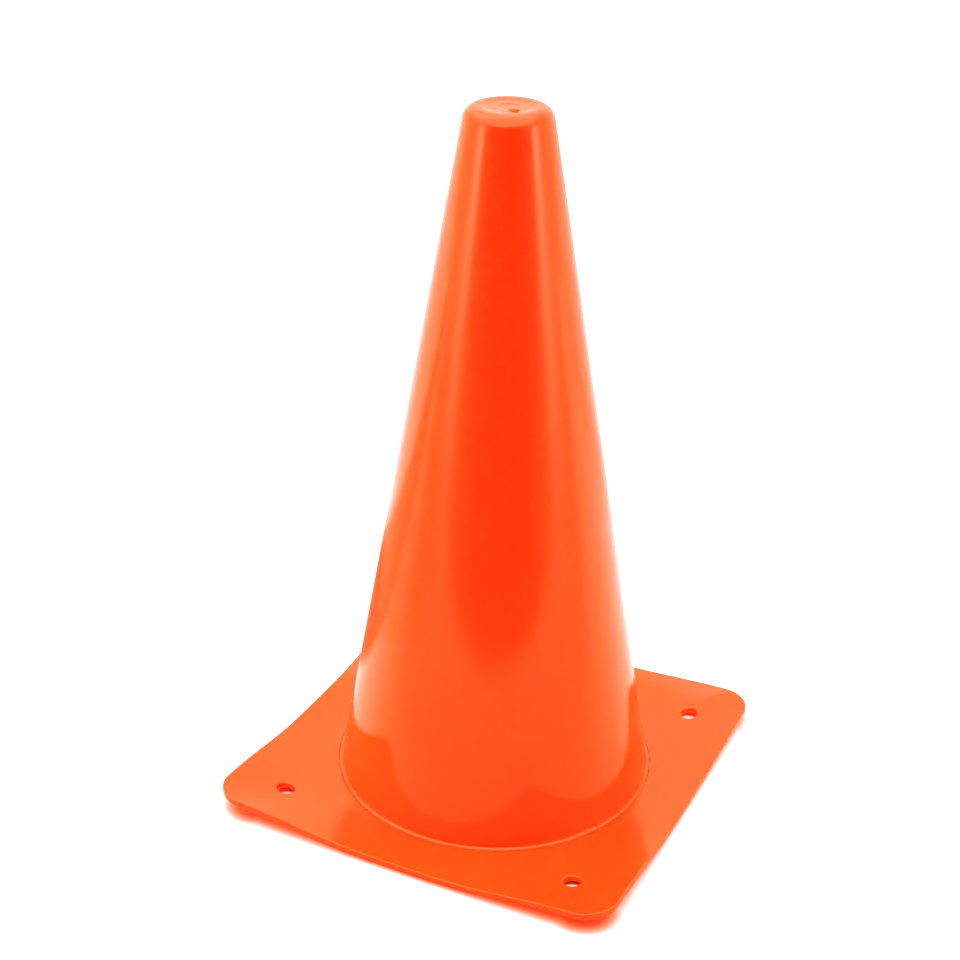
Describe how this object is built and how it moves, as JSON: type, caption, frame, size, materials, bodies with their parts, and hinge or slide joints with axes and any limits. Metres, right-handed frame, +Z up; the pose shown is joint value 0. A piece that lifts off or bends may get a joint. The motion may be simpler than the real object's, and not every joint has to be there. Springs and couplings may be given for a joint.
{
  "type": "traffic cone",
  "caption": "Small hollow safety cone: smooth taper with a closed dished top, on a thin square flange with curled corners and a peg hole in each corner.",
  "frame": {"origin": "on the cone's axis, on the plane that the foot ring stands on", "axes": "+Z up along the cone's axis, the flange's sides along X and Y"},
  "size_m": [0.14, 0.14, 0.23],
  "materials": {
    "cone_plastic": "glossy, slightly translucent moulded orange",
    "plate_plastic": "glossy, slightly translucent moulded orange"
  },
  "bodies": {
    "root": {"cone_shell": "cone_plastic", "base_plate": "plate_plastic"}
  },
  "joints": []
}
